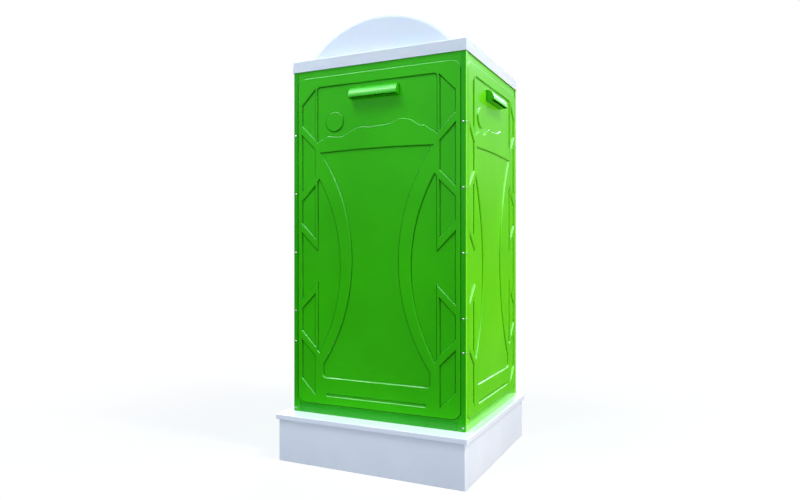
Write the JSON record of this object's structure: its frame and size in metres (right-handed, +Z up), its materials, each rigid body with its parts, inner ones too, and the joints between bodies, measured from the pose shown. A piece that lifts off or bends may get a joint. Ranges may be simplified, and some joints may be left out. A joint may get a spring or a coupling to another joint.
{
  "type": "portable toilet cabin",
  "caption": "Portable toilet cabin of moulded green panels on a raised white tank base, with a barrel-domed roof, wall vent hoods and a hinged, lockable door.",
  "frame": {"origin": "centre of the tank's underside, where the cabin rests on the ground", "axes": "+Z up, +Y towards the back wall, +X to the right as seen by someone facing the door"},
  "size_m": [1.196, 1.272, 2.6699],
  "materials": {
    "green_moulding": "glossy",
    "white_moulding": "satin",
    "translucent_dome": "satin",
    "mat_rubber": "matte",
    "seal_rubber": "matte",
    "rivet_aluminium": "satin",
    "steel_fittings": "brushed",
    "grey_plastic": "matte",
    "white_toilet": "glossy",
    "lock_dial": "glossy",
    "paper": "matte"
  },
  "bodies": {
    "cabin": {"waste_tank": "white_moulding", "base_deck": "white_moulding", "deck_joists": "white_moulding", "floor_mat": "mat_rubber", "corner_post_back_right": "green_moulding", "corner_post_back_left": "green_moulding", "corner_post_front_right": "green_moulding", "corner_post_front_left": "green_moulding", "bottom_rail_back": "green_moulding", "bottom_rail_left": "green_moulding", "bottom_rail_right": "green_moulding", "door_sill": "green_moulding", "wall_panel_back": "green_moulding", "vent_hood_back": "green_moulding", "wall_panel_left": "green_moulding", "vent_hood_left": "green_moulding", "wall_panel_right": "green_moulding", "vent_hood_right": "green_moulding", "post_rivets": "rivet_aluminium", "roof_cap": "white_moulding", "roof_dome": "translucent_dome", "dome_screws": "steel_fittings", "door_jamb_right": "green_moulding", "door_jamb_left": "green_moulding", "door_header": "green_moulding", "threshold_strip": "steel_fittings", "hinge_leaves_jamb": "steel_fittings", "hinge_pins": "steel_fittings", "strike_plate": "steel_fittings", "door_seal": "seal_rubber", "vent_pipe": "grey_plastic", "vent_pipe_clips": "grey_plastic", "toilet_pedestal": "white_toilet", "drop_funnel": "white_toilet", "toilet_seat": "white_toilet", "lid_hinge_brackets": "white_toilet", "lid_hinge_pin": "steel_fittings", "paper_bracket": "grey_plastic"},
    "door": {"door_outer_skin": "green_moulding", "door_inner_skin": "green_moulding", "hinge_leaves_door": "steel_fittings", "pull_handle_outer": "steel_fittings", "pull_handle_inner": "steel_fittings", "lock_case": "grey_plastic", "lock_bezel": "grey_plastic", "coat_hook": "steel_fittings"},
    "lock": {"lock_spindle": "steel_fittings", "lock_lever": "grey_plastic", "lock_indicator": "lock_dial"},
    "latch_bolt": {"lock_bolt": "steel_fittings"},
    "lid": {"seat_lid": "white_toilet"},
    "roll": {"paper_spindle": "grey_plastic", "paper_roll": "paper"}
  },
  "joints": [
    {"name": "door_hinge", "type": "hinge", "parent": "cabin", "child": "door", "pos_m": [-0.33, -0.5937, 1.344], "axis": [0, 0, -1], "range_deg": [0, 105]},
    {"name": "lock_turn", "type": "hinge", "parent": "door", "child": "lock", "pos_m": [0.264, -0.587, 1.29], "axis": [0, 1, 0], "range_deg": [0, 90]},
    {"name": "bolt_slide", "type": "slide", "parent": "door", "child": "latch_bolt", "axis": [1, 0, 0], "range_m": [0, 0.022]},
    {"name": "lid_lift", "type": "hinge", "parent": "cabin", "child": "lid", "pos_m": [0, 0.411, 0.71], "axis": [-1, 0, 0], "range_deg": [0, 97]},
    {"name": "roll_spin", "type": "hinge", "parent": "cabin", "child": "roll", "pos_m": [0.4752, -0.041, 0.98], "axis": [0, 1, 0], "continuous": true}
  ],
  "couplings": [
    {"joint": "bolt_slide", "follows": "lock_turn", "m_per_rad": 0.014}
  ]
}
